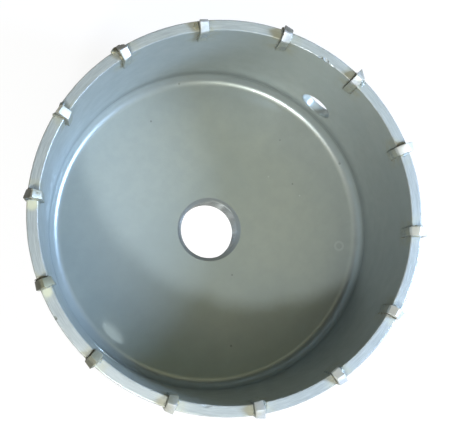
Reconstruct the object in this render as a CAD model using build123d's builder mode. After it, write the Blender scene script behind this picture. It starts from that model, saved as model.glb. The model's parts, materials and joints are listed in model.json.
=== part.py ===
"""Carbide-tipped cup hole saw for masonry: one turned steel cup with a tapped back, fourteen tips
let into slots across the rim, and the seam of brazing filler that holds each tip."""

from build123d import *
from math import cos, radians, sin
import os

os.makedirs("parts", exist_ok=True)

# Driving dimensions, in millimetres and degrees. Z = 0 is the back face, and +Z points to the teeth.
# The two side holes lie on the X axis.

# The cup
cup_diameter = 120.0  # outside of the steel wall
wall_thickness = 3.4
cup_depth = 52.0  # from the rim down to the floor
base_thickness = 14.0  # solid metal that carries the thread
floor_corner_radius = 4.0  # concave corner between floor and wall
back_chamfer = 2.0  # outer corner of the back
rim_edge_break = 0.25  # both corners of the rim

# The tapped hole for an M22 shank, drilled to the thread's crests
thread_crest_diameter = 20.4
thread_entry_diameter = 23.0  # 45 degree countersink on each face of the base

# The two opposite side holes, for pushing out a stuck core
side_hole_diameter = 11.5
side_hole_height = 14.5  # centre above the floor

# The carbide tips
tip_count = 14
first_tip_angle = -3.3
tip_thickness = 2.7  # along the rim
tip_outer_reach = 1.9  # cutting corner outside the wall
tip_inner_reach = 0.9  # cutting corner inside the wall
tip_outer_relief = 1.5  # how much the outer end falls back behind the cutting corner
tip_inner_relief = 0.4  # the same at the inner end
tip_seat_depth = 8.0  # how far the tip goes down into the rim
tip_inner_shoulder_height = 1.4  # inner cutting corner above the rim
tip_outer_shoulder_height = 0.9  # outer cutting corner above the rim
tip_ridge_height = 3.4  # ridge of the roof-shaped top above the rim, over the middle of the wall
tip_top_relief_angle = 8.0  # slope of the top away from the cutting edge

# The brazed joint
filler_gap = 0.2  # filler on both sides of a tip and under it

outer_radius = cup_diameter / 2
inner_radius = outer_radius - wall_thickness
rim_height = base_thickness + cup_depth
crest_radius = thread_crest_diameter / 2
entry_radius = thread_entry_diameter / 2
entry_depth = entry_radius - crest_radius
slot_width = tip_thickness + 2 * filler_gap
slot_depth = tip_seat_depth + filler_gap
tip_outer_radius = outer_radius + tip_outer_reach
tip_inner_radius = inner_radius - tip_inner_reach
middle_radius = (outer_radius + inner_radius) / 2
tip_angles = [first_tip_angle + index * 360 / tip_count for index in range(tip_count)]


def radius_direction(angle):
    """Unit vector that points outwards at this angle round the cup."""
    return Vector(cos(radians(angle)), sin(radians(angle)), 0)


def level_plane(angle, height):
    """Level plane: x runs outwards along the radius, and y forward, in the cutting direction."""
    return Plane(origin=(0, 0, height), x_dir=radius_direction(angle), z_dir=(0, 0, 1))


def upright_plane(angle, forward=0.0):
    """Plane that stands on a radius at the rim's height: x runs outwards, y up, and z to the rear.

    It lies this far forward of the radius, in the cutting direction."""
    outwards = radius_direction(angle)
    rearwards = outwards.cross(Vector(0, 0, 1))
    return Plane(origin=Vector(0, 0, rim_height) - rearwards * forward, x_dir=outwards, z_dir=rearwards)


def slot_side(angle):
    """Side of the slot for one tip: it crosses the wall and is open above the rim."""
    with BuildSketch(upright_plane(angle)) as side:
        with Locations((middle_radius, 0)):
            Rectangle(3 * wall_thickness, 2 * slot_depth)
    return side.sketch


# Turned blank of the cup: half section through wall, floor and bore, revolved about the axis.
with BuildPart() as blank:
    with BuildSketch(Plane.XZ):
        with BuildLine():
            section = Polyline(
                (inner_radius - floor_corner_radius, base_thickness),
                (entry_radius, base_thickness),
                (crest_radius, base_thickness - entry_depth),
                (crest_radius, entry_depth),
                (entry_radius, 0),
                (outer_radius - back_chamfer, 0),
                (outer_radius, back_chamfer),
                (outer_radius, rim_height - rim_edge_break),
                (outer_radius - rim_edge_break, rim_height),
                (inner_radius + rim_edge_break, rim_height),
                (inner_radius, rim_height - rim_edge_break),
                (inner_radius, base_thickness + floor_corner_radius),
            )
            JernArc(section @ 1, (0, -1), floor_corner_radius, -90)
        make_face()
    revolve(axis=Axis.Z)
    # One drilling through both walls makes the two side holes.
    with BuildSketch(Plane.YZ):
        with Locations((0, base_thickness + side_hole_height)):
            Circle(side_hole_diameter / 2)
    extrude(amount=cup_diameter, both=True, mode=Mode.SUBTRACT)

# The cup itself: the blank with a slot for each tip sawn down through the rim.
with BuildPart() as cup:
    add(blank.part)
    for angle in tip_angles:
        extrude(slot_side(angle), amount=slot_width / 2, both=True, mode=Mode.SUBTRACT)
cup.part.label = "cup"
export_step(cup.part, "parts/cup.step")

for number, angle in enumerate(tip_angles, start=1):
    # Tip: seen from above, its ends fall back behind the cutting edge. Seen along the rim, its top
    # is a roof, with the ridge over the middle of the wall, that slopes down to the rear.
    with BuildPart() as tip:
        with BuildSketch(level_plane(angle, rim_height - tip_seat_depth)):
            Polygon(
                (tip_inner_radius, tip_thickness / 2),
                (tip_inner_radius + tip_inner_relief, -tip_thickness / 2),
                (tip_outer_radius - tip_outer_relief, -tip_thickness / 2),
                (tip_outer_radius, tip_thickness / 2),
                align=None,
            )
        extrude(amount=tip_seat_depth + 2 * tip_ridge_height)
        cutting_face = upright_plane(angle, forward=tip_thickness / 2)
        with BuildSketch(cutting_face):
            Polygon(
                (tip_inner_radius, -2 * tip_seat_depth),
                (tip_outer_radius, -2 * tip_seat_depth),
                (tip_outer_radius, tip_outer_shoulder_height),
                (middle_radius, tip_ridge_height),
                (tip_inner_radius, tip_inner_shoulder_height),
                align=None,
            )
        to_the_rear = cutting_face.z_dir.rotate(
            Axis((0, 0, 0), cutting_face.x_dir), tip_top_relief_angle
        )
        extrude(amount=2 * tip_thickness, dir=to_the_rear, mode=Mode.INTERSECT)
    tip.part.label = f"tip_{number:02d}"
    export_step(tip.part, f"parts/tip_{number:02d}.step")

    # Filler: what is left of the slot inside the wall once the tip stands in it.
    with BuildPart() as braze:
        add(blank.part)
        extrude(slot_side(angle), amount=slot_width / 2, both=True, mode=Mode.INTERSECT)
        add(tip.part, mode=Mode.SUBTRACT)
    braze.part.label = f"braze_{number:02d}"
    export_step(braze.part, f"parts/braze_{number:02d}.step")
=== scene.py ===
# %% [markdown]
# # A carbide-tipped cup saw for masonry
#
# This lesson dresses a finished solid model. The saw is a steel cup, turned from one piece and
# sprayed silver. Fourteen carbide tips stand in slots across its rim, and brazing filler holds
# each of them. The solid model gives every size and place, and Blender adds what the eye wants:
# rounded and dented edges, thread turns, uneven beads of filler, and the finishes.

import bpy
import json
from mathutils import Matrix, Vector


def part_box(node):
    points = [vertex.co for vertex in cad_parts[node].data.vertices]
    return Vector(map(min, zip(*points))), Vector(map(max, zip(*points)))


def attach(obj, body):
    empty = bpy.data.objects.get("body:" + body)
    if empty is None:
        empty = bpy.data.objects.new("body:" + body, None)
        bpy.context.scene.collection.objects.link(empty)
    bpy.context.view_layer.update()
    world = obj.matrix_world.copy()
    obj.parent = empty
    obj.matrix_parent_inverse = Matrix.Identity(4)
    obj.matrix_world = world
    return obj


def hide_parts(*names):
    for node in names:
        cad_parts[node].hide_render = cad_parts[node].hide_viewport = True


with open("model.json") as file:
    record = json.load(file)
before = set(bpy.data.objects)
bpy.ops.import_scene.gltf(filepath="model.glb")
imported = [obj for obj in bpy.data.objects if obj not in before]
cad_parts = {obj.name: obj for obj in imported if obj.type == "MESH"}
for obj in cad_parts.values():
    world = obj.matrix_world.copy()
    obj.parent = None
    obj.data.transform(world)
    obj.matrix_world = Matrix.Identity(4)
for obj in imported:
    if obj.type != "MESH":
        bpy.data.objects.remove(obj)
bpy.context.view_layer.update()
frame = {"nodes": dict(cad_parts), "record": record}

# %% [markdown]
# ## Sizes
#
# All lengths are in metres, and the solids give the main ones. The saw's axis is Z, the back lies
# at zero, and the teeth point up. A place on the saw is easiest to say as a radius, an angle round
# the axis and a height, so one short helper turns that into a point.

# %% Sizes taken from the solids
import json
import math

import bmesh
import bpy
from mathutils import Matrix, Vector, noise

MM = 0.001
mounts = {mount["name"]: mount for mount in frame["record"]["mounts"]}
outer_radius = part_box("cup")[1].x
rim_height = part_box("cup")[1].z
base_thickness = 2 * mounts["shank_thread"]["pos_m"][2]
crest_radius = mounts["shank_thread"]["dims"]["r_mm"] * MM
side_hole_radius = mounts["side_holes"]["dims"]["r_mm"] * MM
side_hole_height = mounts["side_holes"]["pos_m"][2]
wall_thickness = 3.4 * MM
inner_radius = outer_radius - wall_thickness
floor_corner_radius = 4.0 * MM
entry_radius = 11.5 * MM
tip_count = sum(name.startswith("tip_") for name in frame["nodes"])
first_tip_angle = -3.3
tip_angles = [first_tip_angle + 360 / tip_count * index for index in range(tip_count)]


def at(radius, angle, height):
    """The point at this radius, angle in degrees and height."""
    turn = math.radians(angle)
    return Vector((radius * math.cos(turn), radius * math.sin(turn), height))


print(f"{tip_count} tips on a cup {2000 * outer_radius:.0f} mm across and {1000 * rim_height:.0f} mm high")

# %% [markdown]
# ## Camera
#
# A long lens looks down into the cup from beside its axis. Its place and the point it looks at are
# in the saw's own coordinates. The third direction says which way is up in the picture, and a
# small roll finishes the framing.

# %% Camera
camera_place = Vector((-44.83, 10.68, 309.36)) * MM
camera_target = Vector((-2.41, 0.309, 66.0)) * MM
picture_up = Vector((0.7772, 0.6293, 0))
camera_roll = math.radians(0.875)

camera = bpy.data.objects.new("camera", bpy.data.cameras.new("camera"))
camera.data.lens = 66.07
camera.data.sensor_width = 36
camera.data.clip_start = 0.01
camera.data.clip_end = 20
backwards = (camera_place - camera_target).normalized()
rightwards = picture_up.cross(backwards).normalized()
upwards = backwards.cross(rightwards)
turned = Matrix((rightwards, upwards, backwards)).transposed()
rolled = turned @ Matrix.Rotation(camera_roll, 3, "Z")
camera.matrix_world = Matrix.Translation(camera_place) @ rolled.to_4x4()
bpy.context.scene.collection.objects.link(camera)
bpy.context.scene.camera = camera
print(f"The camera stands {1000 * (camera_place - camera_target).length:.0f} mm from the rim")

# %% [markdown]
# ## Helpers for making pieces
#
# Most pieces start as a loose mesh of rings, become an object, get modifiers, and are then frozen.
# A cutter is a passing object: a boolean takes its shape away, and it is deleted.

# %% Pieces, cutters and frozen modifiers


def new_object(name, mesh):
    """An object in the scene from a bmesh, with its faces turned outwards."""
    bmesh.ops.recalc_face_normals(mesh, faces=mesh.faces)
    data = bpy.data.meshes.new(name)
    mesh.to_mesh(data)
    mesh.free()
    made = bpy.data.objects.new(name, data)
    bpy.context.scene.collection.objects.link(made)
    return made


def freeze(piece):
    """Turns the modifiers' result into the piece's own mesh."""
    bpy.context.view_layer.update()
    seen = piece.evaluated_get(bpy.context.evaluated_depsgraph_get())
    shaped = bpy.data.meshes.new_from_object(seen)
    loose = piece.data
    piece.modifiers.clear()
    piece.data = shaped
    bpy.data.meshes.remove(loose)
    shaped.name = piece.name


def take_away(piece, cutter, keep_cutter=False):
    """Cuts one object's shape out of another."""
    cut = piece.modifiers.new("cut", "BOOLEAN")
    cut.operation = "DIFFERENCE"
    cut.solver = "MANIFOLD"
    cut.object = cutter
    freeze(piece)
    if not keep_cutter:
        bpy.data.objects.remove(cutter)


def smooth(piece, sharp_angle):
    """Smooth shading that keeps corners above this angle crisp."""
    piece.data.shade_smooth()
    piece.data.set_sharp_from_angle(angle=math.radians(sharp_angle))


def triangles(piece):
    return sum(len(face.vertices) - 2 for face in piece.data.polygons)


# %% [markdown]
# ## The cup as a lathe would make it
#
# A turned part is a profile swept round an axis. Here each point of the profile becomes a ring,
# and faces join it to the next. A ring's radius and height may change with the angle, which a
# plain sweep can't do: that is how the rim gets its dents and the bore its helical thread.
#
# The bore needs many rings but few columns, and the rim many columns. So the bore has a third of
# the columns, and one row of triangles joins the two.

# %% Rings and the faces between them
WALL_COLUMNS = 540
BORE_COLUMNS = WALL_COLUMNS // 3


def add_ring(mesh, columns, place):
    """A ring of points. place(angle) gives each one's radius and height."""
    ring = []
    for column in range(columns):
        angle = 360 * column / columns
        radius, height = place(angle)
        ring.append(mesh.verts.new(at(radius, angle, height)))
    return ring


def join_rings(mesh, coarse, fine, skip=()):
    """Faces between two rings. The second may have three times as many points as the first."""
    count = len(coarse)
    if len(fine) == count:
        for column in range(count):
            after = (column + 1) % count
            if column not in skip:
                mesh.faces.new((coarse[column], coarse[after], fine[after], fine[column]))
        return
    for column in range(count):
        near, far = coarse[column], coarse[(column + 1) % count]
        edge = [fine[(3 * column + step) % len(fine)] for step in range(4)]
        mesh.faces.new((near, edge[1], edge[0]))
        mesh.faces.new((near, far, edge[2], edge[1]))
        mesh.faces.new((far, edge[3], edge[2]))


def join_in_order(mesh, rings):
    """Faces between each ring and the next."""
    for first, second in zip(rings, rings[1:]):
        join_rings(mesh, first, second)


# %% [markdown]
# ## The thread in the bore
#
# The bore is tapped M22 with a pitch of 1.5 mm. The solid keeps only the crests, and here the
# turns are cut outwards from them. The depth depends on how far a point lies from the middle of
# the nearest groove, and the groove climbs by one pitch per turn. Where the countersinks are
# already wider, they win, so the thread runs out into them.

# %% Radius of the threaded bore
thread_pitch = 1.5 * MM
groove_depth = 0.81 * MM
groove_half_width = 0.56 * MM
flank_slope = math.sqrt(3)


def bore_radius(angle, height):
    """Radius of the bore here: countersink, crest or groove, whichever is widest."""
    countersink = entry_radius - min(height, base_thickness - height)
    place_in_pitch = (height / thread_pitch - angle / 360) % 1 - 0.5
    from_groove = abs(place_in_pitch) * thread_pitch
    groove = min(groove_depth, max(0, groove_half_width - from_groove) * flank_slope)
    return max(crest_radius + groove, countersink)


def bore_place(height):
    return lambda angle: (bore_radius(angle, height), height)


# %% [markdown]
# ## The profile of the cup
#
# The rest of the profile runs from the bore over the floor, up the inside of the wall, over the
# rim, and down the outside to the back. Two things make it look turned and used. The rim's corners
# are rounded, and noise makes them uneven, so they catch the light in broken glints. And a thin
# step shows where the lathe tool changed direction between the wall and the floor's corner.

# %% Noise that follows the rim
rim_middle = (inner_radius + outer_radius) / 2
edge_round = 0.35 * MM
edge_wear = 0.07 * MM
flat_wear = 0.012 * MM
step_height = base_thickness + floor_corner_radius + 0.9 * MM
step_depth = 0.16 * MM
step_half_width = 0.45 * MM


def rim_noise(angle, size, seed):
    """Noise from -1 to 1 along the rim. size is the length of its waves."""
    return noise.noise(at(outer_radius / size, angle, seed))


def uneven(angle, seed):
    """A gentle wave with sharper small dents on top."""
    return 0.5 * rim_noise(angle, 9 * MM, seed) + 0.8 * rim_noise(angle, 1.7 * MM, seed + 7)


def wall_place(radius, height):
    """Inside of the wall, with the tool's step near the floor."""

    def place(angle):
        ridge = max(0, 1 - abs(height - step_height) / step_half_width)
        strength = 0.55 + 0.9 * rim_noise(angle, 30 * MM, 3.0)
        wave = 0.25 * step_depth * rim_noise(angle, 4 * MM, 5.0)
        return radius - ridge * (step_depth * max(0.1, strength) + wave), height

    return place


# %% Corner profiles


def corner(centre_radius, centre_height, size, start, end, steps):
    """Points round a quarter circle, as radius and height. Angles are in degrees from outwards."""
    points = []
    for step in range(steps + 1):
        turn = math.radians(start + (end - start) * step / steps)
        points.append((centre_radius + size * math.cos(turn), centre_height + size * math.sin(turn)))
    return points


def worn_place(radius, height, seed):
    """A point of the rim, pushed in where the rim is dented."""

    def place(angle):
        push = edge_wear * max(-0.3, uneven(angle, seed))
        outwards = 1 if radius > rim_middle else -1
        near_edge = min(1, abs(radius - rim_middle) / (0.5 * wall_thickness)) ** 6
        sunk = push * near_edge
        flat = flat_wear * rim_noise(angle, 3 * MM, 40 * radius / MM)
        return radius - outwards * 0.6 * sunk, height - sunk - flat

    return place


rounding_height = rim_height - edge_round
inner_corner = corner(inner_radius + edge_round, rounding_height, edge_round, 180, 90, 5)
outer_corner = corner(outer_radius - edge_round, rounding_height, edge_round, 90, 0, 5)
rim_top_rings = 8
flat_width = wall_thickness - 2 * edge_round
rim_top = [
    (inner_radius + edge_round + flat_width * ring / rim_top_rings, rim_height)
    for ring in range(1, rim_top_rings)
]
floor_end = inner_radius - floor_corner_radius
corner_top = base_thickness + floor_corner_radius
floor_corner = corner(floor_end, corner_top, floor_corner_radius, -90, 0, 14)
back_corner = [
    (outer_radius, 2.3 * MM),
    (outer_radius - 0.12 * MM, 1.9 * MM),
    (outer_radius - 1.9 * MM, 0.12 * MM),
    (outer_radius - 2.3 * MM, 0.0),
]
print(f"The rim's profile has {len(inner_corner) + len(rim_top) + len(outer_corner)} points")

# %% [markdown]
# ## The two side holes
#
# A bar pushed through these holes frees a stuck core. A boolean would leave long thin triangles
# round them, which shade badly on a glossy wall. So a rectangular patch of the wall is left open,
# and rings of faces lead from its border to the hole and through the wall. The hole's edge is
# rounded, as thick paint leaves it.

# %% Side hole
patch_columns = 12
patch_half_height = 9 * MM
hole_edge_round = 0.45 * MM
patch_low = side_hole_height - patch_half_height
patch_high = side_hole_height + patch_half_height


def patch_border(rings, middle_column):
    """Points round the open patch, in order. rings are the wall's rings inside the patch."""
    columns = [(middle_column + step) % WALL_COLUMNS for step in range(-patch_columns, patch_columns + 1)]
    along_bottom = [rings[0][column] for column in columns]
    up_far_side = [ring[columns[-1]] for ring in rings[1:]]
    along_top = [rings[-1][column] for column in reversed(columns[:-1])]
    down_near_side = [ring[columns[0]] for ring in reversed(rings[1:-1])]
    return along_bottom + up_far_side + along_top + down_near_side


def hole_ring(mesh, border, side, wall_radius, sunk, share, radius):
    """A ring between the border (share 0) and the hole (share 1), this far below the wall's face."""
    ring = []
    for point in border:
        across, up = point.co.y, point.co.z - side_hole_height
        turn = math.atan2(up, across)
        y = across + (radius * math.cos(turn) - across) * share
        z = up + (radius * math.sin(turn) - up) * share
        x = math.sqrt(wall_radius**2 - y**2) + sunk
        ring.append(mesh.verts.new((side * x, y, side_hole_height + z)))
    return ring


def drill(mesh, inside, outside, side):
    """The hole through the wall between two open patches."""
    shares = (0.22, 0.45, 0.66, 0.84)
    turns = (0, 25, 50, 70, 90)

    def face_rings(border, wall_radius, inwards):
        full = side_hole_radius + hole_edge_round
        rings = [hole_ring(mesh, border, side, wall_radius, 0, share, full) for share in shares]
        for turn in turns:
            sunk = inwards * hole_edge_round * (1 - math.cos(math.radians(turn)))
            radius = side_hole_radius + hole_edge_round * (1 - math.sin(math.radians(turn)))
            rings.append(hole_ring(mesh, border, side, wall_radius, sunk, 1, radius))
        return rings

    inner = [inside] + face_rings(inside, inner_radius, 1)
    outer = [outside] + face_rings(outside, outer_radius, -1)
    join_in_order(mesh, inner)
    join_in_order(mesh, outer)
    join_rings(mesh, inner[-1], outer[-1])


# %% [markdown]
# ## Building the cup
#
# Now the rings are made in order, from the back of the bore round to the back again, and joined.
# The wall's rings that cross a side hole leave out the columns of its patch.

# %% Rings of the bore, floor and wall
cup_mesh = bmesh.new()
bore_steps = 112
floor_rings = 10
patch_rings = 19


def plain(radius, height):
    return lambda angle: (radius, height)


def wall_rings(places):
    return [add_ring(cup_mesh, WALL_COLUMNS, place) for place in places]


bore_heights = [base_thickness * step / bore_steps for step in range(bore_steps + 1)]
bore_places = [bore_place(height) for height in bore_heights]
bore_places.append(plain(entry_radius + 0.12 * MM, base_thickness + 0.02 * MM))
bore_places.append(plain(entry_radius + 0.5 * MM, base_thickness))
bore = [add_ring(cup_mesh, BORE_COLUMNS, place) for place in bore_places]

floor_start = entry_radius + 1.5 * MM
floor_width = floor_end - floor_start
floor_profile = [
    (floor_start + floor_width * ring / floor_rings, base_thickness) for ring in range(floor_rings)
]
wall_heights = [corner_top + step * 0.225 * MM for step in range(1, 7)]
wall_heights += [patch_low + step * MM for step in range(patch_rings)]
wall_heights += [patch_high + step * 2.4 * MM for step in range(1, 11)]
wall_heights += [patch_high + (24 + 0.8 * step) * MM for step in range(1, 6)]

floor_and_wall = wall_rings(plain(*point) for point in floor_profile + floor_corner)
inside_wall = wall_rings(wall_place(inner_radius, height) for height in wall_heights)
rim = []
for seed, profile in ((11.0, inner_corner), (31.0, rim_top), (53.0, outer_corner)):
    rim += wall_rings(worn_place(*point, seed) for point in profile)

# %% Rings of the outside and the back
outside_heights = [rim_height - 2 * MM, rim_height - 9 * MM, rim_height - 18 * MM]
outside_heights += [patch_high - step * MM for step in range(patch_rings)]
outside_heights += [16 * MM, 12 * MM, 8 * MM, 5 * MM]
outside_wall = wall_rings(plain(outer_radius, height) for height in outside_heights)
back = wall_rings(plain(*point) for point in back_corner)
back += wall_rings(plain(radius * MM, 0) for radius in (50, 40, 30, 20, 14))
back_inner = add_ring(cup_mesh, BORE_COLUMNS, plain(entry_radius + 0.4 * MM, 0))
print(f"The shell has {len(inside_wall)} rings inside the wall and {len(outside_wall)} outside")

# %% Joining the rings
hole_middles = {1: 0, -1: WALL_COLUMNS // 2}
open_columns = {
    (middle + step) % WALL_COLUMNS
    for middle in hole_middles.values()
    for step in range(-patch_columns, patch_columns)
}


def across_patch(rings, heights):
    """The rings that lie in the height of the open patches."""
    low = patch_low - 0.001 * MM
    high = patch_high + 0.001 * MM
    return [ring for ring, height in zip(rings, heights) if low < height < high]


join_in_order(cup_mesh, bore)
join_rings(cup_mesh, bore[-1], floor_and_wall[0])
shell = floor_and_wall + inside_wall + rim + outside_wall + back
inside_patch = across_patch(inside_wall, wall_heights)
outside_patch = across_patch(outside_wall, outside_heights)
left_open = {id(ring) for ring in inside_patch[:-1] + outside_patch[:-1]}
for first, second in zip(shell, shell[1:]):
    join_rings(cup_mesh, first, second, skip=open_columns if id(first) in left_open else ())
join_rings(cup_mesh, back_inner, back[-1])
join_rings(cup_mesh, back_inner, bore[0])
for side, middle in hole_middles.items():
    inside_border = patch_border(inside_patch, middle)
    drill(cup_mesh, inside_border, patch_border(outside_patch[::-1], middle), side)

cup = new_object("cup_turned", cup_mesh)
print(f"The cup has {triangles(cup)} triangles before the slots are sawn")

# %% [markdown]
# ## Slots and knocks
#
# Fourteen slots are sawn across the rim. All the saw cuts go into one cutter, so the boolean runs
# once. It also takes out the knocks that the rim has had in use. A knock is made with a lump, a
# ball pushed out of shape by noise, because nothing that is knocked out of steel is round.

# %% Slot and knock cutters
tip_thickness = 2.7 * MM
filler_gap = 0.2 * MM
slot_width = tip_thickness + 2 * filler_gap
slot_depth = 8.2 * MM
foot_height = rim_height - slot_depth


def turned_to(angle):
    """Matrix that turns about the upright axis, so takes outwards and forwards round the cup."""
    return Matrix.Rotation(math.radians(angle), 4, "Z")


def add_block(mesh, low, high, angle=0.0):
    """A block between two corners, given as outwards, forwards and up."""
    size = Vector(high) - Vector(low)
    middle = (Vector(high) + Vector(low)) / 2
    place = turned_to(angle) @ Matrix.Translation(middle) @ Matrix.Diagonal((*size, 1))
    bmesh.ops.create_cube(mesh, size=1, matrix=place)


def add_lump(mesh, centre, size, angle=0.0, twist=0.0, roughness=0.25, seed=0.0):
    """An uneven ball. centre and size are outwards, forwards and up, and twist turns it level."""
    place = turned_to(angle) @ Matrix.Translation(centre) @ turned_to(twist)
    ball = bmesh.ops.create_icosphere(mesh, subdivisions=3, radius=1)["verts"]
    for point in ball:
        grown = 1 + roughness * noise.noise(point.co * 1.6 + Vector((seed, 0, seed)))
        point.co = place @ Vector(grown * reach * half for reach, half in zip(point.co, size))


# Each knock: angle, radius and height above the rim, then its half sizes and its twist.
knocks = [
    (10.2, 56.7, 0.0, (0.5, 1.1, 0.45), 20),
    (8.0, 56.9, 0.2, (0.7, 1.3, 0.5), -12),
    (5.6, 56.55, 0.1, (0.45, 1.5, 0.4), 5),
    (161.0, 60.0, 0.2, (0.7, 1.0, 0.9), 15),
    (195.6, 56.6, 0.1, (0.35, 0.8, 0.4), 0),
    (212.6, 56.6, 0.15, (0.9, 1.7, 0.5), 0),
    (299.5, 60.1, 0.1, (0.5, 1.5, 0.6), 12),
    (296.5, 60.1, 0.15, (0.4, 1.2, 0.5), -8),
    (263.5, 60.15, 0.1, (0.5, 1.3, 0.6), 0),
    (260.8, 60.1, 0.1, (0.35, 0.8, 0.5), 10),
    (336.0, 56.5, 0.15, (0.35, 0.7, 0.4), 10),
    (279.0, 56.5, 0.15, (0.4, 0.9, 0.4), 0),
]
cut_mesh = bmesh.new()
for angle in tip_angles:
    reach = 2 * wall_thickness
    add_block(
        cut_mesh,
        (rim_middle - reach, -slot_width / 2, foot_height),
        (rim_middle + reach, slot_width / 2, rim_height + reach),
        angle,
    )
for seed, (angle, radius, above, size, twist) in enumerate(knocks):
    centre = Vector((radius, 0, rim_height / MM + above)) * MM
    add_lump(cut_mesh, centre, Vector(size) * MM, angle, twist, seed=float(seed))
take_away(cup, new_object("saw_cuts", cut_mesh))
smooth(cup, 32)
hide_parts("cup")
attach(cup, "root")
print(f"The finished cup has {triangles(cup)} triangles")

# %% [markdown]
# ## The carbide tips
#
# A tip is a small sintered block, ground after brazing. Its top is a roof with the ridge over the
# middle of the wall, and it falls away behind the cutting edge. Seen from above, both ends are
# shorter at the back, so that only the cutting corners touch the hole. The blocks were set by
# hand, each a little further in or out than the next, so each has its own row of sizes. Some have
# lost a corner, which a lump takes away.

# %% Sizes of the tips
# Each tip: inner end, outer end, ridge, height of the outer corner above the rim, and how much
# shorter the outer end is at the back.
tip_shapes = {
    1: (55.95, 61.8, 58.3, 0.9, 1.5),
    2: (55.7, 61.6, 58.3, 0.2, 0.5),
    3: (55.7, 59.7, 58.5, 2.3, 0.1),
    4: (55.5, 60.6, 58.4, 1.1, 0.3),
    5: (55.3, 59.6, 58.6, 2.4, 0.2),
    6: (55.4, 61.1, 58.3, 0.3, 0.7),
    7: (55.45, 61.1, 58.3, 0.6, 0.4),
    8: (55.7, 61.2, 58.3, 0.6, 0.5),
    9: (55.6, 61.2, 58.3, 0.9, 0.3),
    10: (55.7, 61.2, 58.3, 0.9, 0.4),
    11: (55.9, 61.0, 58.3, 0.9, 0.2),
    12: (56.1, 61.1, 58.3, 0.9, 0.6),
    13: (56.1, 61.8, 58.3, 0.9, 0.3),
    14: (55.9, 61.8, 58.3, 0.9, 0.5),
}
inner_corner_up = 1.4
ridge_up = 3.3
inner_relief = 0.4
rear_drop = 0.38
# Chips: the tip's number, then the place (outwards, forwards, above the rim) and half sizes.
chips = [
    (1, (58.0, -1.3, 2.9), (0.45, 0.4, 0.8)),
    (3, (58.1, -1.3, 3.2), (0.45, 0.3, 0.8)),
    (4, (60.5, -1.2, 1.2), (0.7, 0.7, 0.9)),
    (6, (61.2, 1.3, 0.4), (0.7, 0.5, 0.8)),
    (6, (56.6, -0.3, 2.3), (0.9, 0.18, 0.4)),
    (7, (61.2, -1.3, 0.7), (0.6, 0.6, 0.9)),
    (8, (61.3, -1.3, 0.6), (0.7, 0.5, 0.9)),
    (10, (56.3, 1.3, 2.1), (0.9, 0.25, 0.8)),
    (11, (57.6, 1.35, 2.6), (0.5, 0.4, 0.7)),
    (12, (60.9, 1.3, 1.3), (0.6, 0.5, 0.8)),
    (13, (57.2, 1.4, 2.6), (0.45, 0.3, 0.5)),
    (13, (59.3, 1.4, 2.9), (0.4, 0.3, 0.5)),
    (14, (61.6, -1.3, 0.9), (0.5, 0.5, 0.7)),
]
print(f"{len(chips)} chips on {len({number for number, *_ in chips})} of the {tip_count} tips")

# %% Corners of one tip


def tip_points(number, face):
    """Five points of the tip's side at its front (face 1) or rear (face -1)."""
    inner, outer, ridge, outer_corner_up, outer_relief = tip_shapes[number]
    rear = 0 if face > 0 else 1
    inner = inner + rear * inner_relief
    outer = outer - rear * outer_relief
    drop = rear * rear_drop
    foot = (foot_height + filler_gap) / MM
    above = rim_height / MM
    forwards = tip_thickness / MM / 2 * face
    corners = [
        (inner, foot),
        (outer, foot),
        (outer, above + outer_corner_up - drop),
        (min(ridge, outer - 0.3), above + ridge_up - drop),
        (inner, above + inner_corner_up - drop),
    ]
    return [Vector((outwards, forwards, up)) * MM for outwards, up in corners]


# %% One tip
bevel_width = 0.16 * MM


def lump_beside(mesh, centre, size, angle=0.0, roughness=0.25, seed=0.0):
    """A lump whose centre and half sizes are in millimetres, and whose height is above the rim."""
    raised = Vector((centre[0], centre[1], centre[2] + rim_height / MM))
    add_lump(mesh, raised * MM, Vector(size) * MM, angle, roughness=roughness, seed=seed)


def make_tip(number, angle):
    mesh = bmesh.new()
    front = [mesh.verts.new(point) for point in tip_points(number, 1)]
    rear = [mesh.verts.new(point) for point in tip_points(number, -1)]
    mesh.faces.new(front)
    mesh.faces.new(rear[::-1])
    for side in range(5):
        after = (side + 1) % 5
        mesh.faces.new((front[side], rear[side], rear[after], front[after]))
    bmesh.ops.transform(mesh, matrix=turned_to(angle), verts=mesh.verts)
    tip = new_object(f"tip_{number:02d}_ground", mesh)
    rounding = tip.modifiers.new("rounding", "BEVEL")
    rounding.width = bevel_width
    rounding.segments = 3
    rounding.limit_method = "NONE"
    freeze(tip)
    chip_mesh = bmesh.new()
    for place, (chipped, centre, size) in enumerate(chips):
        if chipped == number:
            lump_beside(chip_mesh, centre, size, angle, roughness=0.4, seed=place + 20.0)
    if chip_mesh.verts:
        take_away(tip, new_object("chips", chip_mesh))
    smooth(tip, 30)
    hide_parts(f"tip_{number:02d}")
    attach(tip, "root")
    return tip


tips = {number: make_tip(number, angle) for number, angle in enumerate(tip_angles, start=1)}
print(f"The largest tip has {max(triangles(tip) for tip in tips.values())} triangles")

# %% [markdown]
# ## The brazing filler
#
# Melted filler creeps into the gap round a tip and stops as a small uneven bead along the seam:
# up the inside of the wall, across the rim and down the outside, on both sides of the tip. The
# easy way to such a shape is to overlap a block in the slot, a tube along each seam and a few
# lumps, and let a voxel remesh melt them into one skin. A little noise makes it uneven, and then
# the tip itself is cut out, so the filler fits it exactly. On one side of each tip the filler
# didn't fill the gap, so a thin slice is cut away there and leaves a dark line.

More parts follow.
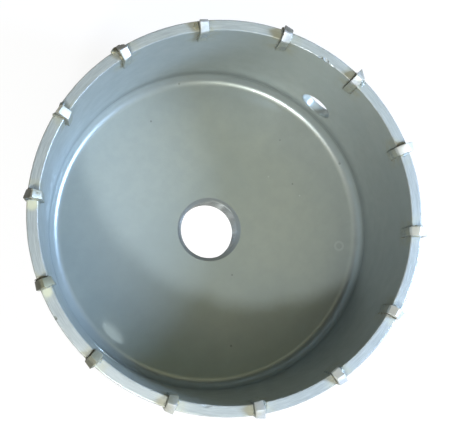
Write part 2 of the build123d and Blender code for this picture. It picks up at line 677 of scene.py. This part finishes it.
# %% Lumps and gaps beside the tips
# Lumps beside a tip: its number, then the place (outwards, forwards, above the rim) and half sizes.
extra_lumps = [
    (1, (58.4, -1.9, -0.1), (1.3, 0.8, 0.55)),
    (1, (59.8, 1.3, 0.2), (0.7, 0.6, 0.6)),
    (2, (59.9, 1.5, 0.1), (0.8, 0.9, 0.8)),
    (2, (60.3, -1.2, -0.3), (0.7, 0.5, 0.9)),
    (3, (58.3, 2.4, -0.25), (1.4, 0.9, 0.45)),
    (4, (59.9, 1.9, 0.0), (0.85, 1.5, 0.6)),
    (4, (60.2, 0.6, -0.6), (0.7, 1.2, 0.9)),
    (5, (59.5, 2.0, -0.1), (0.8, 0.6, 0.45)),
    (5, (59.5, -2.0, -0.1), (0.8, 0.6, 0.45)),
    (6, (60.1, 1.3, -0.3), (0.7, 0.6, 0.9)),
    (7, (60.0, -1.3, -0.2), (0.8, 0.6, 0.9)),
    (8, (57.5, 1.7, -0.1), (0.9, 0.7, 0.5)),
    (8, (60.2, 1.1, -0.3), (0.7, 0.7, 0.9)),
    (9, (57.3, 1.8, -0.05), (0.9, 0.6, 0.6)),
    (10, (57.2, 1.7, 0.0), (1.1, 0.6, 0.7)),
    (11, (57.4, 1.8, -0.05), (1.0, 0.6, 0.55)),
    (12, (57.8, 1.8, -0.15), (1.1, 0.5, 0.4)),
    (13, (58.8, 1.8, -0.1), (1.2, 0.5, 0.4)),
    (14, (57.8, -1.8, -0.1), (1.0, 0.5, 0.45)),
]
# The tips with the open gap in front of them. It is behind the others.
open_in_front = (1, 2, 3, 13, 14)
gap_width = 0.26 * MM
# How far the gap runs down the inside of the wall, in millimetres.
short_gap = 0.9
long_gaps = {1: 6.5, 2: 4.5, 3: 3.5, 14: 5.5}
print(f"{len(extra_lumps)} lumps, and the gap is open in front of {len(open_in_front)} tips")

# %% Beads along a seam
bead_sides = 10


def add_bead(mesh, path, radii):
    """A closed tube along a path in a plane with a fixed forward distance."""
    rings = []
    for place, (point, radius) in enumerate(zip(path, radii)):
        before = path[max(place - 1, 0)]
        after = path[min(place + 1, len(path) - 1)]
        along = (after - before).normalized()
        forwards = Vector((0, 1, 0))
        sideways = along.cross(forwards)
        ring = []
        for side in range(bead_sides):
            turn = math.tau * side / bead_sides
            offset = radius * (math.cos(turn) * forwards + math.sin(turn) * sideways)
            ring.append(mesh.verts.new(point + offset))
        rings.append(ring)
    join_in_order(mesh, rings)
    mesh.faces.new(rings[0][::-1])
    mesh.faces.new(rings[-1])


def seam_path(side):
    """The seam beside a tip, from the foot of the inside wall over the rim to the outside foot."""
    forwards = side * (tip_thickness / 2 + 0.15 * MM)
    sunk = 0.1 * MM
    inside = inner_radius + sunk
    outside = outer_radius - sunk
    top = rim_height - sunk
    climb = [foot_height + share * (top - foot_height) for share in (0, 0.2, 0.4, 0.6, 0.8, 0.95)]
    across = [inside + share * (outside - inside) for share in (0.05, 0.25, 0.5, 0.75, 0.95)]
    path = [Vector((inside, forwards, height)) for height in climb]
    path += [Vector((radius, forwards, top)) for radius in across]
    path += [Vector((outside, forwards, height)) for height in reversed(climb)]
    return path


# %% The open gap


def open_gap(filler, number, angle):
    """Cuts the gap beside a tip: down the inside of the wall, then across the rim."""
    side = 1 if number in open_in_front else -1
    near = side * (tip_thickness / 2 - 0.02 * MM)
    far = side * (tip_thickness / 2 + gap_width)
    depth = long_gaps.get(number, short_gap)
    for start, end, down in ((-3, 0.15, depth), (0.1, 6, short_gap)):
        low = (inner_radius + start * MM, min(near, far), rim_height - down * MM)
        high = (inner_radius + end * MM, max(near, far), rim_height + 2 * MM)
        gap_mesh = bmesh.new()
        add_block(gap_mesh, low, high, angle)
        take_away(filler, new_object("gap", gap_mesh))


# %% One seam of filler
voxel = 0.17 * MM
bead_radius = 0.32
bead_change = 0.2
skin_roughness = 0.07


def make_filler(number, angle):
    mesh = bmesh.new()
    add_block(
        mesh,
        (inner_radius + 0.02 * MM, -slot_width / 2, foot_height),
        (outer_radius - 0.02 * MM, slot_width / 2, rim_height - 0.05 * MM),
    )
    for side in (-1, 1):
        path = seam_path(side)
        seeds = [Vector((number * 3.7 + side, place * 0.8, 0)) for place in range(len(path))]
        radii = [MM * (bead_radius + bead_change * noise.noise(seed)) for seed in seeds]
        add_bead(mesh, path, radii)
    for place, (beside, centre, size) in enumerate(extra_lumps):
        if beside == number:
            lump_beside(mesh, centre, size, roughness=0.5, seed=place + 50.0)
    bmesh.ops.transform(mesh, matrix=turned_to(angle), verts=mesh.verts)
    filler = new_object(f"filler_{number:02d}", mesh)
    melt = filler.modifiers.new("melt", "REMESH")
    melt.mode = "VOXEL"
    melt.voxel_size = voxel
    flow = filler.modifiers.new("flow", "SMOOTH")
    flow.factor = 0.5
    flow.iterations = 4
    freeze(filler)
    outwards = [point.normal.copy() for point in filler.data.vertices]
    for point, normal in zip(filler.data.vertices, outwards):
        rough = noise.fractal(point.co / (1.1 * MM), 1.0, 2.0, 3)
        point.co += normal * skin_roughness * MM * rough
    take_away(filler, tips[number], keep_cutter=True)
    open_gap(filler, number, angle)
    filler.data.shade_smooth()
    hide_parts(f"braze_{number:02d}")
    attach(filler, "root")
    return filler


fillers = {number: make_filler(number, angle) for number, angle in enumerate(tip_angles, start=1)}
everything = [cup, *tips.values(), *fillers.values()]
print(f"All pieces together have {sum(triangles(piece) for piece in everything)} triangles")

# %% [markdown]
# ## Shader helpers
#
# A material is a graph of nodes. Writing it node by node hides what it means, so a small class
# keeps the graph short to read: it makes a node, sets its values and joins its inputs in one call.
# It works the same inside a material and inside a node group.

# %% A short way to write node graphs


class Graph:
    """Adds nodes to a tree. Inputs are given by name, as a value or as another node's output."""

    def __init__(self, tree):
        self.tree = tree

    def add(self, kind, settings=None, **inputs):
        node = self.tree.nodes.new(kind)
        for name, value in (settings or {}).items():
            setattr(node, name, value)
        for name, value in inputs.items():
            self.join(node, name.replace("_", " "), value)
        return node

    def join(self, node, name, value):
        socket = node.inputs[int(name)] if name.isdigit() else node.inputs[name]
        if isinstance(value, bpy.types.NodeSocket):
            self.tree.links.new(value, socket)
        elif socket.type == "RGBA":
            socket.default_value = (*value, 1)
        else:
            socket.default_value = value

    def use(self, group, **inputs):
        """Places a node group, and gives its outputs."""
        return self.add("ShaderNodeGroup", {"node_tree": group}, **inputs).outputs

    def math(self, operation, first, *others, clamp=False):
        """Works through the values in order: two make a result, and the next is joined to it."""
        settings = {"operation": operation, "use_clamp": clamp}
        for other in others or (0.0,):
            first = self.add("ShaderNodeMath", settings, **{"0": first, "1": other}).outputs[0]
        return first

    def times(self, *values):
        return self.math("MULTIPLY", *values)

    def plus(self, *values, clamp=False):
        return self.math("ADD", *values, clamp=clamp)

    def minus(self, first, second, clamp=False):
        return self.math("SUBTRACT", first, second, clamp=clamp)

    def largest(self, *values):
        return self.math("MAXIMUM", *values)

    def between(self, value, low, high, to_low=0.0, to_high=1.0):
        """Smoothly maps low..high to to_low..to_high."""
        limits = {"From_Min": low, "From_Max": high, "To_Min": to_low, "To_Max": to_high}
        node = self.add("ShaderNodeMapRange", {"interpolation_type": "SMOOTHSTEP"}, Value=value, **limits)
        return node.outputs["Result"]

    def mix(self, share, first, second):
        """A colour between two colours."""
        colours = {"0": share, "6": first, "7": second}
        return self.add("ShaderNodeMix", {"data_type": "RGBA"}, **colours).outputs[2]

    def cover(self, tone, *layers):
        """Lays colours over a tone. A layer is a mask, how much of it shows, and its colour."""
        for mask, share, colour in layers:
            tone = self.mix(self.times(mask, share), tone, colour)
        return tone

    def noise(self, vector, scale, detail=3.0, roughness=0.5):
        grain = {"Scale": scale, "Detail": detail, "Roughness": roughness}
        return self.add("ShaderNodeTexNoise", Vector=vector, **grain).outputs["Fac"]


def new_group(name, inputs, outputs):
    """A node group with named inputs, which have usual values, and named outputs."""
    tree = bpy.data.node_groups.new(name, "ShaderNodeTree")
    for way, labels in (("INPUT", inputs), ("OUTPUT", outputs)):
        for label in labels:
            kind = "Vector" if label in ("Point", "Round") else "Float"
            socket = tree.interface.new_socket(label, in_out=way, socket_type=f"NodeSocket{kind}")
            if way == "INPUT" and kind == "Float":
                socket.default_value = inputs[label]
    group_in = tree.nodes.new("NodeGroupInput").outputs
    return tree, Graph(tree), group_in, tree.nodes.new("NodeGroupOutput")


# %% [markdown]
# ## Where a point lies on the saw
#
# Most marks on a turned part follow its axis: tool marks run round it, and stains gather near the
# tips. So the first node group turns a point into cup coordinates: its radius and height in
# millimetres, how far it lies along the rim from the nearest tip, and a place unrolled round the
# axis. Every piece has its origin at the saw's own, so object coordinates are the saw's.

# %% Cup coordinates
rim_level = rim_height / MM
cup_places, graph, group_in, group_out = new_group(
    "cup places", {}, ("Point", "Radius", "Height", "From Tip", "Round")
)
spot = graph.add("ShaderNodeTexCoord").outputs["Object"]
to_mm = {"0": spot, "Scale": 1 / MM}
in_mm = graph.add("ShaderNodeVectorMath", {"operation": "SCALE"}, **to_mm).outputs[0]
parts = graph.add("ShaderNodeSeparateXYZ", Vector=in_mm).outputs
squares = [graph.times(parts[axis], parts[axis]) for axis in "XY"]
spot_radius = graph.math("SQRT", graph.plus(*squares))
turn = graph.math("ARCTAN2", parts["Y"], parts["X"])
tip_step = math.tau / tip_count
from_first = graph.minus(turn, math.radians(first_tip_angle) - tip_step / 2)
in_step = graph.minus(graph.math("FLOORED_MODULO", from_first, tip_step), tip_step / 2)
unrolled = {"X": spot_radius, "Y": graph.times(turn, 2.0), "Z": parts["Z"]}
places = {
    "Point": in_mm,
    "Radius": spot_radius,
    "Height": parts["Z"],
    "From Tip": graph.times(in_step, outer_radius / MM),
    "Round": graph.add("ShaderNodeCombineXYZ", **unrolled).outputs[0],
}
for label, value in places.items():
    graph.join(group_out, label, value)
print("Made the node group", cup_places.name)

# %% [markdown]
# ## Tool marks, specks and single marks
#
# Tool marks are noise squeezed across the way the tool ran, so they come out as long scratches.
# Specks of dust and grit are the middles of a cell pattern. Each cell has a random number that
# decides whether it has a speck, so that they are few and scattered. A mark that has to be at one
# place is easier to make by its distance from that place: a small distance is inside the mark.

# %% Tool marks
tool_marks, graph, group_in, group_out = new_group(
    "tool marks", {"Round": None, "Fineness": 6.0}, ("Mark",)
)
fineness = group_in["Fineness"]
coarse_mark = graph.noise(group_in["Round"], fineness, 2.0, 0.6)
fine_mark = graph.noise(group_in["Round"], graph.times(fineness, 3.1), 2.0, 0.6)
both_marks = graph.plus(graph.times(coarse_mark, 0.6), graph.times(fine_mark, 0.4))
graph.join(group_out, "Mark", both_marks)

# %% Specks
specks, graph, group_in, group_out = new_group(
    "specks", {"Point": None, "Spacing": 5.0, "Size": 0.3, "Share": 0.3}, ("Mask",)
)
per_mm = graph.math("DIVIDE", 1.0, group_in["Spacing"])
cells = graph.add("ShaderNodeTexVoronoi", Vector=group_in["Point"], Scale=per_mm).outputs
cell_number = graph.add("ShaderNodeSeparateColor", Color=cells["Color"]).outputs[0]
chosen = graph.math("LESS_THAN", cell_number, group_in["Share"])
far_out = graph.times(cells["Distance"], group_in["Spacing"])
heart = graph.times(group_in["Size"], 0.6)
speck = graph.between(far_out, heart, group_in["Size"], 1.0, 0.0)
graph.join(group_out, "Mask", graph.times(speck, chosen))

# %% Single marks
# Each mark: radius, angle, height and size.
dark_marks = [
    (54.5, 51.9, 14.5, 0.55),
    (44.6, 68.6, 14, 0.45),
    (18.4, 246.7, 14, 0.42),
    (42.5, 230.6, 14, 0.5),
    (54.9, 337.2, 14.7, 0.6),
    (35.4, 339.1, 14, 0.4),
    (42.7, 1.8, 14, 0.35),
]
bright_marks = [(54.3, 22.1, 14.4, 0.5), (36.0, 331.0, 14, 0.3), (29.5, 352.0, 14, 0.28)]
# Each patch on the rim: tip number, how far in front of it in degrees, size and strength.
yellow_patches = [(6, 2.9, 2.4, 0.9), (7, 2.7, 2.0, 0.8)]
patch_radius = 58.4
ring_place = (48.6, 303.4, 14)
ring_radius = 1.5
single_marks, graph, group_in, group_out = new_group(
    "single marks", {"Point": None}, ("Dark", "Bright", "Ring", "Yellow")
)


def distance_to(radius, angle, height):
    """How far the shaded point is from one place on the saw, in millimetres."""
    ends = {"0": group_in["Point"], "1": at(radius, angle, height)}
    return graph.add("ShaderNodeVectorMath", {"operation": "DISTANCE"}, **ends).outputs["Value"]


def join_largest(label, masks):
    """Sends the strongest of the masks to an output of the group."""
    graph.join(group_out, label, graph.largest(*masks))


for label, marks in {"Dark": dark_marks, "Bright": bright_marks}.items():
    join_largest(
        label,
        [graph.between(distance_to(*place), 0.5 * size, size, 1.0, 0.0) for *place, size in marks],
    )
patch_masks = []
for number, forward_angle, size, strength in yellow_patches:
    off_patch = distance_to(patch_radius, tip_angles[number - 1] + forward_angle, rim_level)
    patch_masks.append(graph.between(off_patch, 0.4 * size, size, strength, 0.0))
join_largest("Yellow", patch_masks)
off_ring = graph.math("ABSOLUTE", graph.minus(distance_to(*ring_place), ring_radius))
graph.join(group_out, "Ring", graph.between(off_ring, 0.2, 0.55, 1.0, 0.0))

# %% [markdown]
# ## Painted shade, highlights and stains on single tips
#
# No two tips look alike. A near-black patch on the outer end of some is painted shade, where the
# outer slope faces away from the main lamp; others are stained olive, and a few are painted paler
# as a highlight. These follow no rule, so each is a spot at a place that is simply listed, and
# noise added to the distance makes its border ragged. The tips and their filler read the same
# group, so that the painted shade goes on from one to the other.

# %% Painted shade, highlights and stains on single tips
# Each spot: tip number, radius, height above the rim, size and strength.
tip_marks = {
    # Near-black painted shade on the outer ends of tips whose outer slopes face away from the main lamp.
    "Crust": [
        (1, 60.9, 0.9, 2.4, 0.45),
        (2, 60.6, 1.2, 2.6, 0.8),
        (4, 60.4, 1.2, 2.6, 0.8),
        (6, 60.5, 1.2, 2.7, 1.0),
        (7, 60.8, 1.0, 2.3, 0.85),
        (8, 60.9, 1.0, 2.2, 0.6),
    ],
    "Olive": [
        (5, 57.0, 2.0, 2.8, 0.3),
        (6, 57.0, 2.0, 2.8, 0.5),
        (7, 58.0, 1.6, 3.2, 0.85),
        (8, 58.4, 1.6, 3.2, 0.75),
        (9, 56.6, 1.6, 2.3, 0.6),
    ],
    # Paler patches painted on the tops of tips 10 to 14: a painted highlight.
    "Pale": [
        (10, 56.8, 1.9, 2.4, 0.4),
        (11, 56.8, 1.9, 2.8, 0.85),
        (12, 56.8, 1.9, 2.8, 0.8),
        (13, 56.8, 1.9, 3.0, 1.0),
        (14, 56.8, 1.9, 3.0, 0.6),
    ],
}
soft_border = 0.9
tip_spots, graph, group_in, group_out = new_group("tip spots", {"Point": None}, tip_marks)
ragged = graph.times(graph.noise(group_in["Point"], 1.2, 3.0, 0.6), 1.4)
for label, spots in tip_marks.items():
    spot_masks = []
    for number, radius, above, size, strength in spots:
        off_spot = graph.plus(distance_to(radius, tip_angles[number - 1], rim_level + above), ragged)
        spot_masks.append(graph.between(off_spot, size, size + soft_border, strength, 0.0))
    join_largest(label, spot_masks)
for group in (tool_marks, specks, single_marks, tip_spots):
    print("Made the node group", group.name)

# %% [markdown]
# ## Heat and flux stains
#
# Brazing heats the steel beside each tip, and melted flux runs over it. The stain is strongest at
# the seam, fades within a few millimetres, runs down the wall further than along the rim, and is
# patchy. One group gives a mask for the yellow-brown stain and one for the dark flux right at the
# seam, so that cup, tips and filler all get the same stain and it passes over their seams.

# %% Stains near the tips
stains, graph, group_in, group_out = new_group(
    "stains", {"Point": None, "From Tip": 0.0, "Height": 0.0}, ("Heat", "Flux")
)
off_seam = graph.minus(graph.math("ABSOLUTE", group_in["From Tip"]), 1.6)
below_rim = graph.minus(rim_level, group_in["Height"])
patches = graph.noise(group_in["Point"], 0.35, 3.0)
fine_patches = graph.noise(group_in["Point"], 1.4, 3.0, 0.6)
down = graph.between(below_rim, 5.0, 13.0, 1.0, 0.0)
along = graph.between(graph.plus(off_seam, graph.times(patches, -3.0)), -1.0, 3.2, 1.0, 0.0)
heat = graph.times(along, down, graph.between(patches, 0.35, 0.62))
graph.join(group_out, "Heat", heat)
near_seam = graph.plus(off_seam, graph.times(fine_patches, -1.2))
at_seam = graph.between(near_seam, -0.9, 0.5, 1.0, 0.0)
flux = graph.times(at_seam, down, graph.between(fine_patches, 0.42, 0.62))
graph.join(group_out, "Flux", flux)
print("Made the node group", stains.name)

# %% [markdown]
# ## Silver paint
#
# The finish is a cheap metallic spray: fine aluminium flakes in a clear binder. It is part metal
# and part dull, so it answers light softly. The colour wanders between cool and greenish grey, the
# surface has a faint orange peel, and there are a few specks of grit. A darker band of painted
# shade lies in the corner between floor and wall, and the thread is dull bare steel.
# On the rim the coat is thin, and the tool marks show through it.
#
# The saw's three finishes start with the same two groups and end with the same kind of shader, so
# one helper starts a finish and another ends it. Between them the colours are laid on in order,
# each with its mask.

# %% Starting and ending a finish


def empty_graph(owner):
    """The graph of a new material or world, with nothing in it yet."""
    owner.use_nodes = True
    owner.node_tree.nodes.clear()
    return Graph(owner.node_tree)


def new_finish(name):
    """A material, its graph, and what the two groups say of the place and its stains."""
    material = bpy.data.materials.new(name)
    graph = empty_graph(material)
    place = graph.use(cup_places)
    point = place["Point"]
    stain = graph.use(stains, Point=point, From_Tip=place["From Tip"], Height=place["Height"])
    return material, graph, place, point, stain


def dress(pieces, material, graph, relief, strength, **looks):
    """Ends a finish with its relief and shader, and gives it to the pieces."""
    bump = graph.add("ShaderNodeBump", Strength=strength, Distance=MM, Height=relief).outputs[0]
    shader = graph.add("ShaderNodeBsdfPrincipled", Normal=bump, **looks)
    graph.add("ShaderNodeOutputMaterial", Surface=shader.outputs[0])
    for piece in pieces:
        piece.data.materials.clear()
        piece.data.materials.append(material)
    print("Dressed", len(pieces), "in", material.name)


# %% Silver paint
paint, graph, place, point, stain = new_finish("silver_paint")
wide = graph.noise(point, 0.03, 2.0)
cloud = graph.noise(point, 0.22, 4.0, 0.6)
flake = graph.noise(point, 9.0, 2.0, 0.8)
scratches = graph.use(tool_marks, Round=place["Round"], Fineness=4.0)["Mark"]
single = graph.use(single_marks, Point=point)
few_dark = graph.use(specks, Point=point, Spacing=9.0, Size=0.3, Share=0.02)["Mask"]
few_bright = graph.use(specks, Point=point, Spacing=11.0, Size=0.25, Share=0.03)["Mask"]
grit = graph.largest(graph.times(few_dark, 0.6), single["Dark"])
bright_grit = graph.largest(few_bright, single["Bright"], graph.times(single["Ring"], 0.35))

on_rim = graph.between(place["Height"], rim_level - 0.5, rim_level - 0.15)
in_bore = graph.between(place["Radius"], 11.3, 11.8, 1.0, 0.0)
# The corner band is painted shade: the paint is darkened just above the floor's corner.
corner_start = base_thickness / MM + 2.6
wall_start = inner_radius / MM
above_floor = graph.between(place["Height"], corner_start, corner_start + 1.6)
below_wall = graph.between(place["Height"], corner_start + 2.6, corner_start + 8.0, 1.0, 0.0)
inside = graph.between(place["Radius"], wall_start + 0.5, wall_start + 1.0, 0.42, 0.0)
painted_corner_shade = graph.times(above_floor, below_wall, inside)

rim_tone = graph.mix(graph.between(scratches, 0.35, 0.65), (0.30, 0.315, 0.30), (0.45, 0.465, 0.44))
paint_tone = graph.cover(
    graph.mix(graph.between(wide, 0.35, 0.65), (0.30, 0.335, 0.32), (0.33, 0.36, 0.335)),
    (graph.between(cloud, 0.32, 0.68), 0.4, (0.275, 0.31, 0.29)),
    (graph.between(flake, 0.35, 0.8), 0.25, (0.46, 0.49, 0.48)),
    # Painted shade in the corner between floor and wall.
    (painted_corner_shade, 1, (0.15, 0.165, 0.155)),
    (on_rim, 0.75, rim_tone),
    (stain["Heat"], 0.5, (0.36, 0.34, 0.22)),
    (stain["Flux"], 0.7, (0.12, 0.115, 0.09)),
    (single["Yellow"], 1, (0.55, 0.54, 0.38)),
    (grit, 0.6, (0.12, 0.13, 0.12)),
    (bright_grit, 0.6, (0.62, 0.65, 0.64)),
    (in_bore, 0.8, (0.28, 0.29, 0.28)),
)
paint_gloss = graph.between(cloud, 0.25, 0.75, 0.285, 0.35)
paint_relief = graph.plus(
    graph.times(graph.noise(point, 1.6, 2.0), 0.02),
    graph.times(flake, 0.004),
    graph.times(scratches, on_rim, 0.05),
    graph.times(graph.plus(grit, bright_grit), 0.04),
)
dress(
    [cup],
    paint,
    graph,
    paint_relief,
    strength=0.8,
    Base_Color=paint_tone,
    Roughness=graph.plus(paint_gloss, graph.times(stain["Heat"], 0.15), clamp=True),
    Metallic=graph.minus(0.3, graph.times(stain["Flux"], 0.3), clamp=True),
)

# %% [markdown]
# ## Ground carbide
#
# Carbide is a grey, heavy-looking metal. The tops were ground, so fine straight lines run along
# them, and they are bright. Below the rim the sides were never ground: they carry paint and flux.
# The height tells the two apart, with noise along the border.

# %% Ground carbide
carbide, graph, place, point, stain = new_finish("ground_carbide")
mottle = graph.noise(point, 1.3, 4.0, 0.65)
squeezed = {"X": graph.times(place["From Tip"], 9.0), "Y": place["Radius"], "Z": place["Height"]}
along_tip = graph.add("ShaderNodeCombineXYZ", **squeezed).outputs[0]
grinding = graph.noise(along_tip, 1.2, 3.0, 0.6)
ragged_height = graph.plus(place["Height"], graph.times(mottle, 0.9))
ground = graph.between(ragged_height, rim_level + 0.5, rim_level + 1.0)
spots = graph.use(tip_spots, Point=point)
dirty = graph.mix(graph.between(mottle, 0.4, 0.6), (0.22, 0.235, 0.21), (0.30, 0.335, 0.315))
clean = graph.cover(
    graph.mix(graph.between(mottle, 0.3, 0.7), (0.40, 0.41, 0.40), (0.52, 0.53, 0.52)),
    (graph.between(grinding, 0.35, 0.7), 0.5, (0.62, 0.63, 0.62)),
)
carbide_tone = graph.cover(
    graph.mix(ground, dirty, clean),
    (stain["Heat"], 0.35, (0.50, 0.47, 0.30)),
    (spots["Olive"], 1, (0.20, 0.20, 0.12)),
    # Painted highlight on the tops of some tips.
    (spots["Pale"], 1, (0.80, 0.81, 0.76)),
    # Painted shade on the outer ends of some tips.
    (spots["Crust"], 0.9, (0.06, 0.06, 0.045)),
)
dress(
    tips.values(),
    carbide,
    graph,
    graph.plus(graph.times(grinding, 0.03), graph.times(mottle, 0.03)),
    strength=0.7,
    Base_Color=carbide_tone,
    Roughness=graph.between(ground, 0.0, 1.0, 0.5, 0.46),
    Metallic=graph.between(ground, 0.0, 1.0, 0.3, 0.4),
)

# %% [markdown]
# ## Filler
#
# The filler is a dull brass that was sprayed with the cup. Paint covers its high places, brass
# shows where it wore through, and dark flux sits in its hollows.

# %% Brazing filler
brass, graph, place, point, stain = new_finish("brazing_filler")
mottle = graph.noise(point, 0.9, 4.0, 0.6)
hollows = graph.noise(point, 3.5, 3.0, 0.7)
spots = graph.use(tip_spots, Point=point)
brass_tone = graph.cover(
    graph.mix(graph.between(mottle, 0.42, 0.6), (0.30, 0.335, 0.315), (0.36, 0.34, 0.23)),
    (graph.between(hollows, 0.5, 0.68), 0.8, (0.10, 0.10, 0.075)),
    (stain["Flux"], 0.6, (0.09, 0.085, 0.065)),
    # The same painted shade goes on over the filler beside those tips.
    (spots["Crust"], 0.9, (0.06, 0.06, 0.045)),
)
dress(
    fillers.values(),
    brass,
    graph,
    graph.plus(graph.times(mottle, 0.05), graph.times(hollows, 0.06)),
    strength=0.8,
    Base_Color=brass_tone,
    Roughness=graph.between(mottle, 0.3, 0.7, 0.38, 0.55),
    Metallic=graph.between(hollows, 0.5, 0.68, 0.4, 0.1),
)

# %% [markdown]
# ## The floor it stands on
#
# The floor is plain and pale. To the camera, and in reflections, it is white, and only part of the
# light that falls on it shows, so the saw's shadow stays but is soft. Right under the bore the
# floor would be black with shadow, so there the white is full: the open bore looks open. Far from
# the saw it is full too, so that the floor meets the white background without an edge.
#
# Seen from below, and for the rays that look for a lamp, the floor is clear. The saw's back can
# then be looked at and lit from underneath, while the lamps above still throw the saw's shadow.

# %% Floor
floor_size = 1.2
floor_drop = 0.2 * MM
floor_mesh = bmesh.new()
bmesh.ops.create_grid(floor_mesh, x_segments=24, y_segments=24, size=floor_size)
floor = new_object("floor", floor_mesh)
floor.location.z = -floor_drop

shadow_share = 0.14
plain_white = 1.04
extra_white = 0.2
floor_paper = bpy.data.materials.new("floor_paper")
graph = empty_graph(floor_paper)


def blend(share, first, second):
    """A shader between two shaders."""
    return graph.add("ShaderNodeMixShader", **{"0": share, "1": first, "2": second}).outputs[0]


floor_spot = graph.add("ShaderNodeTexCoord").outputs["Object"]
length = {"operation": "LENGTH"}
from_axis = graph.add("ShaderNodeVectorMath", length, **{"0": floor_spot}).outputs["Value"]
under_bore = graph.between(from_axis, 1.6 * entry_radius, 2.0 * entry_radius, 1.0, 0.0)
far_off = graph.between(from_axis, 0.25, 0.6)
white = graph.plus(plain_white, graph.times(graph.largest(under_bore, far_off), extra_white))
fibre = graph.mix(graph.noise(floor_spot, 900.0, 3.0), (0.80, 0.80, 0.80), (0.84, 0.84, 0.84))
lit = graph.add("ShaderNodeBsdfDiffuse", Color=fibre).outputs[0]
glow = graph.add("ShaderNodeEmission", Color=(1, 1, 1), Strength=white).outputs[0]
clear = graph.add("ShaderNodeBsdfTransparent").outputs[0]
ray = graph.add("ShaderNodeLightPath").outputs
is_seen = graph.largest(*[ray[f"Is {kind} Ray"] for kind in ("Camera", "Glossy", "Transmission")])
behind = graph.add("ShaderNodeNewGeometry").outputs["Backfacing"]
paper = blend(is_seen, lit, blend(1 - shadow_share, lit, glow))
one_way = blend(graph.largest(behind, ray["Is Shadow Ray"]), paper, clear)
graph.add("ShaderNodeOutputMaterial", Surface=one_way)
floor.data.materials.append(floor_paper)
print("The floor is", 2 * floor_size, "m across")

# %% [markdown]
# ## Light
#
# The main lamp is near and small, so the wall throws a shadow with a clear edge over part of the
# floor, and the sloping tops of the tips turn bright or dark with the way they face. Two wide
# lamps beside it soften that shadow. A bluish one on the right, as from a window, lights the wall
# across from it, and two weak ones hang overhead. Three that stand almost level show the outside
# of the cup, and one below its back. The world is very dim, and white only to the camera.
# Directions are given as they are in the picture, and then turned to the saw's own.

# %% Lamps and world
picture_turn = 51.0
lamps = [
    # name, angle in the picture, angle above the floor, distance, size, power, colour
    ("main", -114.1, 54, 0.48, 0.05, 1.35, (0.84, 0.92, 1.0)),
    ("beside main", 260, 56, 0.9, 0.4, 2.0, (1.0, 1.0, 0.78)),
    ("behind main", 240, 62, 0.9, 0.5, 1.4, (1.0, 0.86, 0.82)),
    ("window", -7, 36, 0.45, 0.13, 4.2, (0.5, 0.68, 1.0)),
    ("ceiling", 60, 62, 0.9, 0.5, 0.6, (1.0, 0.95, 0.6)),
    ("above", 0, 88, 0.9, 0.5, 0.3, (0.9, 1.0, 0.7)),
    ("low front", 262, 7, 0.9, 0.5, 0.9, (1.0, 1.0, 0.97)),
    ("low right", 10, 7, 0.9, 0.5, 1.3, (1.0, 0.88, 0.66)),
    ("low back", 135, 7, 0.9, 0.5, 0.8, (0.95, 0.97, 1.0)),
    ("below", 0, -88, 0.7, 0.4, 1.6, (1.0, 1.0, 0.97)),
]
aim = Vector((0, 0, 0.03))
for name, angle, up, distance, size, power, colour in lamps:
    data = bpy.data.lights.new(name, "AREA")
    data.shape = "DISK"
    data.size = size
    data.energy = power
    data.color = colour
    lamp = bpy.data.objects.new(name, data)
    out = distance * math.cos(math.radians(up))
    lamp.location = at(out, angle - picture_turn, distance * math.sin(math.radians(up))) + aim
    lamp.rotation_mode = "QUATERNION"
    lamp.rotation_quaternion = (aim - lamp.location).to_track_quat("-Z", "Y")
    bpy.context.scene.collection.objects.link(lamp)

room_light = 0.02
world = bpy.data.worlds.new("studio")
graph = empty_graph(world)
is_camera = graph.add("ShaderNodeLightPath").outputs["Is Camera Ray"]
strength = graph.plus(room_light, graph.times(is_camera, 1 - room_light))
surround = graph.add("ShaderNodeBackground", Color=(1, 1, 1), Strength=strength)
graph.add("ShaderNodeOutputWorld", Surface=surround.outputs[0])
bpy.context.scene.world = world
bpy.context.scene.view_settings.view_transform = "Standard"
print("Lit by", len(lamps), "lamps")
